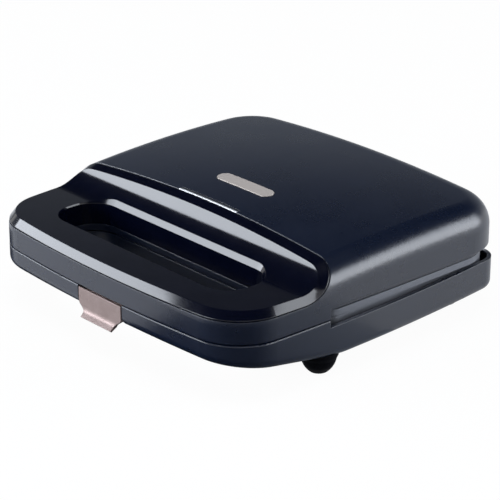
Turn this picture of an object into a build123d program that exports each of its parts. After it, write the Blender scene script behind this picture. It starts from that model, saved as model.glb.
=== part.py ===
from build123d import *
from math import cos, radians, sin, tan
import os

os.makedirs("parts", exist_ok=True)

# A compact two-slice panini press, closed and latched. Millimetres, +Z up, handle towards -Y.
# The origin is on the table, in the middle of the whole press.

# Overall sizes
body_depth = 227.0
body_width = 232.4
front_taper = 3.2
base_side_inset = 1.2
base_rear_taper = 8.9
lid_rear_taper = 0.6
front_bow = 6.4
rear_bow = 1.6
front_corner_radius = 33.0
base_rear_corner_radius = 14.0
lid_rear_corner_radius = 33.0
handle_depth = 75.5
latch_reach = 3.5
hinge_setback = 5.5
hinge_radius = 5.0

# Heights above the table
foot_height = 10.7
parting_height = 37.0
parting_gap = 0.8
base_rear_drop = 5.3
handle_top = 56.0
crown_height = 76.4
handle_underside_rise = 13.4
lid_skirt_rise = 2.8
lid_outer_wall_rise = 7.0

# Casing
wall = 2.5
lid_step = 4.5
roll_radius = 17.0
bottom_radius = 6.0
base_rim_radius = 0.8
crown_radius_across = 1300.0
crown_radius_along = 1100.0
crown_apex_setback = 163.0

# Handle trim
trim_slope = 62.0
trim_lip_setback = 78.7
trim_blend_radius = 20.0
trim_border_inset = 1.8
trim_border_drop = 5.0
trim_seam_depth = 5.1
trim_seam_gap = 0.6
trim_thickness = 2.4
slot_end_margin = 34.2
slot_length = body_width - 2 * slot_end_margin
slot_width = 38.5
slot_setback = 25.6
slot_corner_radius = 17.0
slot_wall = 2.2
slot_rim_drop = 1.0
slot_rim_taper = 27.0
trim_skirt_rise = 4.4
skirt_gap = 0.2

# Fits
tiny = 0.01
fit_gap = 0.2
running_clearance = 0.05

# Underside of the handle
underside_break_setback = 83.6
underside_blend_radius = 120.0

# Handle floor, deck and their posts
tray_thickness = 3.0
deck_thickness = 2.6
handle_post_radius = 4.6
trim_post_radius = 3.6
post_side_margin = 4.2
bar_post_spread = 52.0

# Screws
screw_radius = 1.5
screw_head_radius = 3.0
screw_head_height = 1.6
screw_recess = 1.8
screw_clearance = 0.05
screw_tip_gap = 0.5
trim_screw_bite = 11.0
plate_screw_radius = 2.0
plate_screw_head_radius = 4.0
plate_screw_head_height = 1.5
plate_screw_bite = 14.0
plate_screw_skin = 0.6
plate_screw_tip_gap = 0.4

# Latch
latch_width = 39.0
latch_tab_width = 28.0
latch_side_gap = 0.9
latch_plate = 2.6
latch_pivot_gap = 0.4
latch_pivot_rise = 3.0
latch_barrel_radius = 2.5
latch_barrel_length = 28.0
latch_pin_radius = 1.0
latch_top_drop = 1.6
latch_drop = 19.0
latch_cheek = 3.6
cheek_cap = 1.0
latch_sweep_radius = 6.4
latch_pocket_depth = 8.6
catch_drop = 12.7
catch_thickness = 1.4
catch_gap = 0.3
latch_web = 1.8
latch_arm_front = -1.0
latch_arm_rear = 1.6
latch_flare_rise = 4.2
latch_flare_radius = 5.0
latch_lip_rise = 0.8
latch_heel = 0.4
latch_heel_setback = 1.4
latch_heel_rise = 2.2
latch_lip_thickness = 0.9
latch_shoulder_rise = 3.5
latch_shoulder_slant = 4.0
latch_shoulder_radius = 3.0
latch_opening_depth = 1.5
pocket_wall = 2.2

# Hinge
hinge_inset = 41.2
knuckle_width = 14.0
knuckle_rise = 1.0
ear_width = 5.4
hinge_side_gap = 0.3
hinge_pin_radius = 2.0
pin_head = 0.4
ear_drop = 9.0

# Cooking plates and heaters
plate_front_gap = 3.0
lower_plate_inset = 5.0
lower_plate_drop = 2.4
plate_gap = 0.4
plate_depth = 7.0
upper_plate_inset = 5.0
plate_seam_gap = 0.8
shoulder_gap = 0.5
upper_plate_shoulder = lid_step + wall + shoulder_gap
plate_rim = 3.0
plate_floor = 3.0
plate_corner_radius = 8.0
rib_height = 1.8
rib_root = 0.5
rib_width = 3.0
rib_top_width = 2.0
rib_pitch = 9.0
element_radius = 3.25
element_inset = 50.2
element_front_setback = 24.0
element_rear_setback = 52.0
element_bend = 18.0
element_pin_radius = 1.5
element_pin_length = 8.0
contact_gap = 0.1
clip_front_setback = 30.0
clip_rear_setback = 14.0
clip_length = 16.0
clip_width = 8.0
clip_wall = 1.0
reflector_thickness = 0.8
reflector_gap = 1.2
reflector_margin = 8.0
plate_post_inset = 24.2
plate_post_front_setback = 20.0
plate_post_rear_setback = 48.0
plate_post_radius = 4.0
plate_post_shoulder = 5.5

# Thermostat and overheat cut-out
thermostat_radius = 8.0
thermostat_height = 6.0
thermostat_edge_radius = 1.0
blade_width = 6.0
blade_thickness = 0.8
blade_inner = 3.0
blade_length = 5.0
blade_root = 1.0
blade_clearance = 0.4
strap_margin = 6.0
strap_width = 10.0
strap_thickness = 0.8
fuse_radius = 2.2
fuse_length = 13.0
fuse_lead_length = 6.5
fuse_lead_radius = 0.6

# Cord inlet, its clamp and the terminal block
inlet_offset = 40.0
inlet_rise = 9.5
inlet_radius = 3.75
gland_radius = 6.0
gland_flange_radius = 8.5
gland_flange = 2.5
gland_edge_radius = 0.8
clamp_half = 10.0
clamp_rise = 13.6
clamp_depth = 8.0
clamp_setback = 12.0
clamp_screw_spread = 7.0
clamp_screw_floor = 1.0
block_half = 18.0
block_depth = 13.0
block_height = 10.0
block_setback = 12.0
block_pitch = 12.0
block_ways = 3
block_edge_radius = 1.5
block_well_radius = 2.2
block_well_depth = 4.0

# Leads and the sleeve round the hinge
wire_radius = 1.1
wire_bend = 4.0
wire_gap = 0.15
wire_rise = 5.0
wire_run = 8.0
lid_wire_run = 10.0
lid_wire_setback = 14.0
lid_wire_spread = 1.5
sleeve_offset = 50.0
sleeve_radius = 3.2
sleeve_bend = 6.0
sleeve_inset = 2.0
sleeve_drop = 12.0
sleeve_climb = 13.0

# Lamps, their window and the badge
lens_half = 26.0
lens_depth = 2.6
lens_height = 5.0
lens_drop = 3.4
lamp_radius = 2.2
lamp_length = 10.0
lamp_end_radius = 0.9
lamp_setback = 9.0
lamp_drop = 1.5
lamp_spread = 13.0
holder_half = 24.0
holder_depth = 6.0
badge_length = 46.8
badge_width = 10.0
badge_setback = 113.9
badge_sink = 0.6
badge_proud = 0.4

# Feet
foot_front_inset = 13.6
foot_rear_inset = 30.2
foot_front_setback = 3.0
foot_rear_setback = 25.0
foot_top_radius = 11.6
foot_tip_radius = 5.6
foot_flare = 3.0
foot_flare_height = 3.4
foot_collar = 2.0
foot_collar_step = 1.0
foot_peg_radius = 2.5
foot_peg_height = 2.0

# Places that follow from the sizes above
front_y = latch_reach - (latch_reach + body_depth + hinge_setback + hinge_radius) / 2
rear_y = front_y + body_depth
middle_y = front_y + body_depth / 2
crease_y = front_y + handle_depth
hinge_y = rear_y + hinge_setback
hinge_z = parting_height
slot_y = front_y + slot_setback + slot_width / 2
crown_apex_y = front_y + crown_apex_setback
reach = body_depth + body_width
lid_half_width = body_width / 2
lid_rear_half_width = lid_half_width - lid_rear_taper
front_half_width = lid_half_width - front_taper
base_half_width = lid_half_width - base_side_inset
base_rear_half_width = lid_half_width - base_rear_taper
base_rear_wall_top = parting_height - base_rear_drop
lid_skirt_bottom = parting_height + lid_skirt_rise
lid_outer_wall_bottom = parting_height + lid_outer_wall_rise
trim_skirt_bottom = parting_height + trim_skirt_rise
lower_plate_top = parting_height - lower_plate_drop
lower_plate_bottom = lower_plate_top - plate_depth
upper_plate_bottom = lower_plate_top + plate_gap
upper_plate_top = upper_plate_bottom + plate_depth
hinge_spread = lid_half_width - hinge_inset
element_spread = lid_half_width - element_inset
plate_post_spread = lid_half_width - plate_post_inset
latch_pivot_inset = wall + latch_barrel_radius + latch_pivot_gap


def plan(mid_half, rear_half, rear_corner, inset=0.0):
    """Plan of a casing half, drawn in by an inset: four wide arcs that meet in round corners."""
    front_end = (front_half_width, front_y + front_bow)
    rear_end = (rear_half, rear_y - rear_bow)
    seam_turn = 45
    front_left = (-front_end[0], front_end[1])
    rear_left = (-rear_end[0], rear_end[1])
    arcs = [
        Edge.make_three_point_arc(front_left, (0, front_y), front_end),
        Edge.make_three_point_arc(front_end, (mid_half, middle_y), rear_end),
        Edge.make_three_point_arc(rear_end, (0, rear_y), rear_left),
        Edge.make_three_point_arc(rear_left, (-mid_half, middle_y), front_left),
    ]
    with BuildSketch() as outline:
        Rectangle(reach, reach)
        for arc in arcs:
            with Locations(Location(arc.arc_center, (0, 0, seam_turn))):
                Circle(arc.radius - inset, mode=Mode.INTERSECT)
        fillet(outline.vertices().sort_by(Axis.Y)[:2], front_corner_radius - inset)
        fillet(outline.vertices().sort_by(Axis.Y)[-2:], rear_corner - inset)
    return outline.sketch


def base_plan(inset=0.0):
    return plan(base_half_width, base_rear_half_width, base_rear_corner_radius, inset)


def lid_plan(inset=0.0):
    return plan(lid_half_width, lid_rear_half_width, lid_rear_corner_radius, inset)


def slot_plan(margin=0.0):
    """Finger slot through the handle, grown outwards by a margin."""
    with BuildSketch() as outline:
        with Locations((0, slot_y)):
            RectangleRounded(slot_length + 2 * margin, slot_width + 2 * margin, slot_corner_radius + margin)
    return outline.sketch


def column(sketch, low, high):
    """A plan raised into a solid between two heights."""
    with BuildPart() as solid:
        with BuildSketch(Plane.XY.offset(low)):
            add(sketch)
        extrude(amount=high - low)
    return solid.part


def slab(low, high):
    """A plain box between two corners."""
    with BuildPart() as solid:
        with Locations(tuple((a + b) / 2 for a, b in zip(low, high))):
            Box(*(b - a for a, b in zip(low, high)))
    return solid.part


def crown(raised=0.0):
    """Everything below the crowned top of the lid, as a slice of a wide barrel."""
    half_span = body_width
    along = crown_radius_along + raised
    drop = crown_radius_across - (crown_radius_across**2 - half_span**2) ** 0.5
    half_turn = 14.0
    middle = (0, crown_apex_y, crown_height - crown_radius_along)
    tilt = radians(half_turn)
    start = Plane(middle, x_dir=(1, 0, 0), z_dir=(0, -cos(tilt), sin(tilt)))
    with BuildPart() as solid:
        with BuildSketch(start):
            with BuildLine():
                ThreePointArc((-half_span, along - drop), (0, along), (half_span, along - drop))
                Polyline(
                    (half_span, along - drop),
                    (half_span, along - crown_height),
                    (-half_span, along - crown_height),
                    (-half_span, along - drop),
                )
            make_face()
        revolve(axis=Axis(middle, (1, 0, 0)), revolution_arc=2 * half_turn)
    return solid.part


def above_handle(depth=0.0):
    """Everything above the dished handle surface, sunk by a depth square to that surface."""
    slope = radians(trim_slope)
    lip_y = front_y + trim_lip_setback + depth * sin(slope)
    lip_z = crown_height - depth * cos(slope)
    flat_z = handle_top - depth
    foot_y = lip_y - (lip_z - flat_z) / tan(slope)
    top_z = crown_height + roll_radius
    top_y = lip_y + (top_z - lip_z) / tan(slope)
    with BuildPart() as solid:
        with BuildSketch(Plane.YZ) as side:
            with BuildLine():
                Polyline(
                    (front_y - roll_radius, flat_z),
                    (foot_y, flat_z),
                    (top_y, top_z),
                    (front_y - roll_radius, top_z),
                    close=True,
                )
            make_face()
            inner = side.vertices().sort_by_distance((foot_y, flat_z))[0]
            fillet(inner, trim_blend_radius + depth)
        extrude(amount=reach / 2, both=True)
    return solid.part


def below_underside(raised=0.0):
    """Everything under the base's underside, which rises towards the front of the handle."""
    break_y = front_y + underside_break_setback
    pitch = handle_underside_rise / underside_break_setback
    low = -roll_radius - raised
    ahead_y = front_y - roll_radius
    with BuildPart() as solid:
        with BuildSketch(Plane.YZ) as side:
            with BuildLine():
                Polyline(
                    (ahead_y, foot_height + raised + pitch * (break_y - ahead_y)),
                    (break_y, foot_height + raised),
                    (reach, foot_height + raised),
                    (reach, low),
                    (ahead_y, low),
                    close=True,
                )
            make_face()
            knee = side.vertices().sort_by_distance((break_y, foot_height + raised))[0]
            fillet(knee, underside_blend_radius)
        extrude(amount=reach / 2, both=True)
    return solid.part


def underside(y):
    """Height of the base's underside at a place along the press."""
    break_y = front_y + underside_break_setback
    return foot_height + max(0.0, break_y - y) * handle_underside_rise / underside_break_setback


def screw(radius, length, head_radius, head_height):
    """A pan-head screw standing on its head, its slot cut in the head."""
    with BuildPart() as solid:
        Cylinder(head_radius, head_height, align=(Align.CENTER, Align.CENTER, Align.MIN))
        fillet(solid.edges().group_by(Axis.Z)[0], head_height / 3)
        with Locations((0, 0, head_height)):
            Cylinder(radius, length, align=(Align.CENTER, Align.CENTER, Align.MIN))
        Box(
            head_radius * 1.4,
            head_radius / 4,
            head_height / 2,
            align=(Align.CENTER, Align.CENTER, Align.MIN),
            mode=Mode.SUBTRACT,
        )
        Box(
            head_radius / 4,
            head_radius * 1.4,
            head_height / 2,
            align=(Align.CENTER, Align.CENTER, Align.MIN),
            mode=Mode.SUBTRACT,
        )
    return solid.part


def rod(x_low, x_high, y, z, radius):
    """A round bar along X."""
    with BuildPart() as solid:
        with BuildSketch(Plane.YZ.offset(x_low)):
            with Locations((y, z)):
                Circle(radius)
        extrude(amount=x_high - x_low)
    return solid.part


def post(x, y, low, high, radius):
    """A round upright."""
    with BuildPart() as solid:
        with BuildSketch(Plane.XY.offset(low)):
            with Locations((x, y)):
                Circle(radius)
        extrude(amount=high - low)
    return solid.part


def tube(points, bend, radius):
    """A bar bent along straight runs and arcs."""
    with BuildPart() as solid:
        with BuildLine() as path:
            FilletPolyline(*points, radius=bend)
        with BuildSketch(Plane(path.line @ 0, z_dir=path.line % 0)):
            Circle(radius)
        sweep()
    return solid.part


# Heights and places shared by several pieces
deck_top = parting_height - parting_gap
deck_bottom = deck_top - deck_thickness
tray_floor = parting_height + tray_thickness
base_floor = foot_height + wall
post_side = (slot_length / 2 + lid_half_width - post_side_margin) / 2
post_front = front_y + slot_setback / 2
handle_posts = [
    (-post_side, slot_y),
    (post_side, slot_y),
    (-bar_post_spread, post_front),
    (bar_post_spread, post_front),
]
seam_floor = trim_seam_depth + trim_seam_gap

# The outer form of the lid and its trim, before they are parted
with BuildPart() as upper_form:
    with BuildSketch(Plane.XY.offset(parting_height)):
        add(lid_plan())
    extrude(amount=crown_height)
    add(crown(), mode=Mode.INTERSECT)
    top_face = upper_form.faces().sort_by(Axis.Z)[-1]
    fillet(top_face.edges(), roll_radius)
    add(above_handle(), mode=Mode.SUBTRACT)
    level = upper_form.faces().filter_by(lambda f: abs(f.center().Z - handle_top) < tiny)
    flat = level.sort_by(SortBy.AREA)[-1]
    border = flat.edges().sort_by(Axis.Y)[0]
    chamfer(border, trim_border_inset, trim_border_drop, reference=flat)

# The hollow inside that form, one wall further in
with BuildPart() as inner_form:
    with BuildSketch(Plane.XY.offset(parting_height)):
        add(lid_plan(wall))
    extrude(amount=crown_height)
    add(crown(-wall), mode=Mode.INTERSECT)
    inner_top = inner_form.faces().sort_by(Axis.Z)[-1]
    fillet(inner_top.edges(), roll_radius - wall)

slot_shaft = column(slot_plan(), -foot_height, 2 * crown_height)
with BuildPart() as rim_cut:
    with BuildSketch(Plane.XY.offset(handle_top - slot_rim_drop)):
        add(slot_plan())
    extrude(amount=roll_radius, taper=-slot_rim_taper)
slot_rim = rim_cut.part

# Handle trim: glossy dished cover with a turned-down border and the upper wall of the finger slot
with BuildPart() as trim_hollow:
    add(inner_form.part)
    add(above_handle(trim_thickness), mode=Mode.SUBTRACT)

with BuildPart() as slot_skirt:
    add(column(slot_plan(slot_wall), trim_skirt_bottom, crown_height))
    add(above_handle(trim_thickness / 2), mode=Mode.SUBTRACT)

with BuildPart() as handle_trim:
    add(upper_form.part)
    add(above_handle(trim_seam_depth), mode=Mode.INTERSECT)
    add(trim_hollow.part, mode=Mode.SUBTRACT)
    add(slot_skirt.part)
    for x, y in handle_posts:
        add(post(x, y, tray_floor, handle_top - trim_thickness / 2, trim_post_radius))
    add(slot_shaft, mode=Mode.SUBTRACT)
    add(slot_rim, mode=Mode.SUBTRACT)
    for x, y in handle_posts:
        add(
            post(x, y, tray_floor, tray_floor + trim_screw_bite, screw_radius + screw_clearance),
            mode=Mode.SUBTRACT,
        )
handle_trim.part.label = "handle_trim"
export_step(handle_trim.part, "parts/handle_trim.step")

# Lid shell: crowned casing, handle tray below the trim, stepped skirt over the plates
latch_pivot_y = front_y + latch_pivot_inset
latch_pivot_z = parting_height + latch_pivot_rise
latch_half = latch_width / 2
latch_opening = latch_half + latch_side_gap
cheek_inner = latch_barrel_length / 2 + fit_gap
cheek_top = latch_pivot_z + latch_barrel_radius + cheek_cap
plate_front_y = crease_y + plate_front_gap
plate_post_front = plate_front_y + plate_post_front_setback
plate_post_rear = rear_y - plate_post_rear_setback
plate_posts = [(side * plate_post_spread, y) for side in (-1, 1) for y in (plate_post_front, plate_post_rear)]
upper_element_z = upper_plate_top + contact_gap + element_radius
upper_reflector_z = upper_element_z + element_radius + reflector_gap
sleeve_x = hinge_spread - sleeve_offset
sleeve_low = parting_height - sleeve_drop
sleeve_high = parting_height + sleeve_climb

with BuildPart() as lid_recess:
    add(slab((-reach, crease_y, 0), (reach, reach, lid_outer_wall_bottom)))
    add(column(lid_plan(lid_step), lid_skirt_bottom, crown_height), mode=Mode.SUBTRACT)

with BuildPart() as lid_hollow:
    add(inner_form.part)
    add(slab((-reach, -reach, 0), (reach, reach, lid_outer_wall_bottom + wall)), mode=Mode.SUBTRACT)
    add(column(lid_plan(lid_step + wall), 0, lid_outer_wall_bottom + 2 * wall))
    add(slab((-reach, -reach, 0), (reach, crease_y, 2 * crown_height)), mode=Mode.SUBTRACT)
    add(above_handle(seam_floor + wall), mode=Mode.SUBTRACT)
    for x, y in plate_posts:
        add(post(x, y, upper_plate_top, crown_height, plate_post_radius), mode=Mode.SUBTRACT)
        add(
            post(x, y, upper_reflector_z + reflector_thickness, crown_height, plate_post_shoulder),
            mode=Mode.SUBTRACT,
        )

with BuildPart() as handle_tray:
    add(column(lid_plan(wall), tray_floor, 2 * crown_height))
    add(slab((-reach, crease_y - wall, 0), (reach, reach, 2 * crown_height)), mode=Mode.SUBTRACT)

# The window for the pilot lamps lies in the lid's front edge, behind the seam
lens_bottom = crown_height - lens_drop - lens_height

with BuildPart() as lens_seat:
    add(above_handle(seam_floor + lens_depth + fit_gap))
    add(
        slab(
            (-lens_half - fit_gap, -reach, lens_bottom - fit_gap),
            (lens_half + fit_gap, reach, 2 * crown_height),
        ),
        mode=Mode.INTERSECT,
    )

# The badge is a bare pill, let into the crown
badge_y = front_y + badge_setback


def badge_column(margin=0.0):
    with BuildSketch() as pill:
        with Locations((0, badge_y)):
            SlotOverall(badge_length + 2 * margin, badge_width + 2 * margin)
    return column(pill.sketch, parting_height, 2 * crown_height)


with BuildPart() as badge_seat:
    add(badge_column(contact_gap))
    add(crown(-badge_sink), mode=Mode.SUBTRACT)

with BuildPart() as lid_knuckle:
    with BuildSketch(Plane.YZ) as side:
        with Locations((hinge_y, hinge_z)):
            Circle(hinge_radius)
        with BuildLine():
            Polyline(
                (rear_y - lid_step - wall, lid_outer_wall_bottom + knuckle_rise),
                (rear_y, lid_outer_wall_bottom + knuckle_rise),
                (hinge_y + 0.8 * hinge_radius, hinge_z + 0.6 * hinge_radius),
                (hinge_y, hinge_z),
                (hinge_y - hinge_radius, lid_skirt_bottom),
                (rear_y - lid_step - wall, lid_skirt_bottom),
                close=True,
            )
        make_face()
        with Locations((hinge_y, hinge_z)):
            Circle(hinge_pin_radius + running_clearance, mode=Mode.SUBTRACT)
    extrude(amount=knuckle_width / 2, both=True)

with BuildPart() as lid_shell:
    add(upper_form.part)
    add(above_handle(seam_floor), mode=Mode.SUBTRACT)
    add(lid_recess.part, mode=Mode.SUBTRACT)
    add(lid_hollow.part, mode=Mode.SUBTRACT)
    add(handle_tray.part, mode=Mode.SUBTRACT)
    add(column(slot_plan(slot_wall), parting_height, trim_skirt_bottom - skirt_gap))
    add(slot_shaft, mode=Mode.SUBTRACT)
    add(lens_seat.part, mode=Mode.SUBTRACT)
    add(badge_seat.part, mode=Mode.SUBTRACT)
    add(
        slab(
            (-latch_opening, front_y + wall, 0),
            (latch_opening, latch_pivot_y + latch_barrel_radius + latch_opening_depth, tray_floor),
        ),
        mode=Mode.SUBTRACT,
    )
    for side in (-1, 1):
        cheek = sorted((side * cheek_inner, side * (cheek_inner + latch_cheek)))
        add(
            slab(
                (cheek[0], front_y + wall / 2, parting_height + fit_gap),
                (cheek[1], latch_pivot_y + latch_barrel_radius, cheek_top),
            )
        )
        with Locations((side * hinge_spread, 0, 0)):
            add(lid_knuckle.part)
    add(
        rod(-latch_opening, latch_opening, latch_pivot_y, latch_pivot_z, latch_pin_radius + tiny),
        mode=Mode.SUBTRACT,
    )
    for x, y in handle_posts:
        add(post(x, y, 0, tray_floor + tray_thickness, screw_radius + screw_clearance), mode=Mode.SUBTRACT)
        add(post(x, y, 0, parting_height + screw_recess, screw_head_radius + fit_gap), mode=Mode.SUBTRACT)
    for x, y in plate_posts:
        add(
            post(x, y, 0, upper_plate_top + plate_screw_bite, plate_screw_radius + screw_clearance),
            mode=Mode.SUBTRACT,
        )
    with BuildSketch(Plane.XZ.offset(-rear_y + wall + roll_radius)):
        with Locations((sleeve_x, sleeve_high)):
            Circle(sleeve_radius + fit_gap)
    extrude(amount=-2 * roll_radius, mode=Mode.SUBTRACT)
lid_shell.part.label = "lid_shell"
export_step(lid_shell.part, "parts/lid_shell.step")

# Indicator lens: clear strip that carries the light of the pilot lamps to the seam
with BuildPart() as indicator_lens:
    add(upper_form.part)
    add(above_handle(seam_floor + lens_depth), mode=Mode.INTERSECT)
    add(above_handle(seam_floor), mode=Mode.SUBTRACT)
    add(slab((-lens_half, -reach, lens_bottom), (lens_half, reach, 2 * crown_height)), mode=Mode.INTERSECT)
indicator_lens.part.label = "indicator_lens"
export_step(indicator_lens.part, "parts/indicator_lens.step")

# Badge: pressed metal pill, left bare
with BuildPart() as badge:
    add(badge_column())
    add(crown(badge_proud), mode=Mode.INTERSECT)
    add(crown(-badge_sink), mode=Mode.SUBTRACT)
    fillet(badge.faces().sort_by(Axis.Z)[-1].edges(), badge_proud / 2)
badge.part.label = "badge"
export_step(badge.part, "parts/badge.step")

# Latch: sprung clip that hangs from its pin in the lid and covers the notch in the base
latch_front = -latch_pivot_inset
latch_inner = latch_front + latch_plate
latch_top = parting_height - latch_top_drop - latch_pivot_z
latch_low = parting_height - latch_drop - latch_pivot_z
web_top = -latch_sweep_radius - fit_gap
web_low = web_top - latch_web
catch_low = parting_height - catch_drop - latch_pivot_z
catch_top = catch_low + catch_thickness
catch_tip = latch_pocket_depth - latch_pivot_inset - catch_gap
lip_y = latch_front - latch_reach
flare_z = latch_low + latch_flare_rise
shoulder_low = latch_low + latch_shoulder_rise
shoulder_top = shoulder_low + latch_shoulder_slant

latch_pivot = (0, latch_pivot_y, latch_pivot_z)

with BuildPart() as latch:
    with BuildSketch(Plane(latch_pivot, x_dir=(0, 1, 0), z_dir=(1, 0, 0))) as side:
        with BuildLine():
            Polyline(
                (latch_front, latch_top),
                (latch_front, flare_z),
                (lip_y, latch_low + latch_lip_rise),
                (lip_y + latch_lip_thickness, latch_low),
                (latch_front + latch_heel_setback, latch_low + latch_heel_rise),
                (latch_inner, flare_z + latch_heel),
                (latch_inner, catch_low),
                (catch_tip, catch_low),
                (catch_tip, catch_top),
                (latch_inner, catch_top),
                (latch_inner, web_low),
                (latch_arm_rear, web_low),
                (latch_arm_rear, 0),
                (latch_arm_front, 0),
                (latch_arm_front, web_top),
                (latch_inner, web_top),
                (latch_inner, latch_top),
                close=True,
            )
        make_face()
        bend = side.vertices().sort_by_distance((latch_front, flare_z))[0]
        fillet(bend, latch_flare_radius)
        Circle(latch_sweep_radius, mode=Mode.SUBTRACT)
        with BuildLine():
            Polyline(
                (latch_arm_front, web_top),
                (latch_arm_rear, web_top),
                (latch_arm_rear, 0),
                (latch_arm_front, 0),
                close=True,
            )
        make_face()
        Circle(latch_barrel_radius)
        Circle(latch_pin_radius + running_clearance, mode=Mode.SUBTRACT)
    extrude(amount=latch_half, both=True)
    with BuildSketch(Plane(latch_pivot, x_dir=(1, 0, 0), z_dir=(0, -1, 0))) as face:
        with BuildLine():
            Polyline(
                (-latch_half, latch_top + latch_side_gap),
                (latch_half, latch_top + latch_side_gap),
                (latch_half, shoulder_top),
                (latch_tab_width / 2, shoulder_low),
                (latch_tab_width / 2, latch_low - latch_plate),
                (-latch_tab_width / 2, latch_low - latch_plate),
                (-latch_tab_width / 2, shoulder_low),
                (-latch_half, shoulder_top),
                close=True,
            )
        make_face()
        fillet(
            face.vertices().filter_by(lambda v: shoulder_low - tiny < v.Y < shoulder_top + tiny),
            latch_shoulder_radius,
        )
        Rectangle(latch_barrel_length, 2 * (latch_barrel_radius + latch_sweep_radius))
    extrude(amount=handle_depth, both=True, mode=Mode.INTERSECT)
latch.part.label = "latch"
export_step(latch.part, "parts/latch.step")

# Latch pin: steel pin through the lid's two cheeks and the latch barrel
pin_half = cheek_inner + latch_cheek
latch_pin_part = rod(-pin_half, pin_half, latch_pivot_y, latch_pivot_z, latch_pin_radius)
latch_pin_part.label = "latch_pin"
export_step(latch_pin_part, "parts/latch_pin.step")

# Base shell: tub with the lower wall of the finger slot, latch pocket, posts and hinge ears
lower_element_z = lower_plate_bottom - contact_gap - element_radius
lower_reflector_top = lower_element_z - element_radius - reflector_gap
lower_reflector_z = lower_reflector_top - reflector_thickness
foot_front_x = lid_half_width - foot_front_inset
foot_rear_x = lid_half_width - foot_rear_inset
foot_front_y = crease_y + foot_front_setback
foot_rear_y = rear_y - foot_rear_setback
feet = {
    "foot_front_left": (-foot_front_x, foot_front_y),
    "foot_front_right": (foot_front_x, foot_front_y),
    "foot_rear_left": (-foot_rear_x, foot_rear_y),
    "foot_rear_right": (foot_rear_x, foot_rear_y),
}
inlet_x = inlet_offset - hinge_spread
inlet_z = foot_height + inlet_rise
pocket_back_y = front_y + latch_pocket_depth
pocket_block = slab(
    (-latch_opening - pocket_wall, front_y - latch_reach, 0),
    (latch_opening + pocket_wall, pocket_back_y + pocket_wall, 2 * crown_height),
)
deck_seat = {place: underside(place[1]) + wall + screw_recess for place in handle_posts}
plate_seat = base_floor + screw_recess

with BuildPart() as base_form:
    add(column(base_plan(), 0, deck_top))
    fillet(base_form.faces().sort_by(Axis.Z)[-1].edges(), base_rim_radius)
    add(below_underside(), mode=Mode.SUBTRACT)
    sole = base_form.faces().sort_by(Axis.Z)[0]
    fillet(sole.edges().sort_by(Axis.Y)[-1], bottom_radius)

with BuildPart() as base_hollow:
    add(column(base_plan(wall), 0, 2 * crown_height))
    add(below_underside(wall), mode=Mode.SUBTRACT)
    add(column(slot_plan(slot_wall), 0, 2 * crown_height), mode=Mode.SUBTRACT)
    add(pocket_block, mode=Mode.SUBTRACT)
    add(slab((-reach, crease_y - wall, 0), (reach, crease_y, 2 * crown_height)), mode=Mode.SUBTRACT)
    for x, y in handle_posts:
        add(post(x, y, 0, deck_bottom, handle_post_radius), mode=Mode.SUBTRACT)
    for x, y in plate_posts:
        add(post(x, y, 0, lower_reflector_z, plate_post_shoulder), mode=Mode.SUBTRACT)
        add(post(x, y, 0, lower_plate_bottom, plate_post_radius), mode=Mode.SUBTRACT)

with BuildPart() as base_ear:
    with BuildSketch(Plane.YZ) as side:
        with Locations((hinge_y, hinge_z)):
            Circle(hinge_radius)
        with BuildLine():
            Polyline(
                (rear_y - wall - rear_bow, base_rear_wall_top),
                (rear_y - wall - rear_bow, base_rear_wall_top - ear_drop),
                (rear_y, base_rear_wall_top - ear_drop),
                (hinge_y + 0.9 * hinge_radius, hinge_z - 0.4 * hinge_radius),
                (hinge_y, hinge_z),
                (hinge_y - hinge_radius, hinge_z),
                (hinge_y - hinge_radius, base_rear_wall_top),
                close=True,
            )
        make_face()
        with Locations((hinge_y, hinge_z)):
            Circle(hinge_pin_radius + tiny, mode=Mode.SUBTRACT)
    extrude(amount=ear_width / 2, both=True)

ear_step = knuckle_width / 2 + hinge_side_gap + ear_width / 2
with BuildPart() as base_shell:
    add(base_form.part)
    add(base_hollow.part, mode=Mode.SUBTRACT)
    add(slab((-reach, crease_y, base_rear_wall_top), (reach, reach, 2 * crown_height)), mode=Mode.SUBTRACT)
    add(slot_shaft, mode=Mode.SUBTRACT)
    add(
        slab((-latch_opening, front_y - latch_reach, 0), (latch_opening, pocket_back_y, 2 * crown_height)),
        mode=Mode.SUBTRACT,
    )
    for side in (-1, 1):
        for step in (-ear_step, ear_step):
            with Locations((side * hinge_spread + step, 0, 0)):
                add(base_ear.part)
    for x, y in handle_posts:
        add(post(x, y, 0, deck_seat[x, y], screw_head_radius + fit_gap), mode=Mode.SUBTRACT)
        add(post(x, y, 0, deck_top, screw_radius + screw_clearance), mode=Mode.SUBTRACT)
    for x, y in plate_posts:
        add(post(x, y, 0, plate_seat, plate_screw_head_radius + fit_gap), mode=Mode.SUBTRACT)
        add(post(x, y, 0, lower_plate_bottom, plate_screw_radius + screw_clearance), mode=Mode.SUBTRACT)
    for x, y in feet.values():
        add(post(x, y, 0, underside(y) + foot_peg_height + tiny, foot_peg_radius + tiny), mode=Mode.SUBTRACT)
    with BuildSketch(Plane.XZ.offset(-rear_y + wall + front_bow)):
        with Locations((inlet_x, inlet_z)):
            Circle(gland_radius + tiny)
        with Locations((sleeve_x, sleeve_low)):
            Circle(sleeve_radius + fit_gap)
    extrude(amount=-2 * front_bow, mode=Mode.SUBTRACT)
base_shell.part.label = "base_shell"
export_step(base_shell.part, "parts/base_shell.step")

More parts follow.
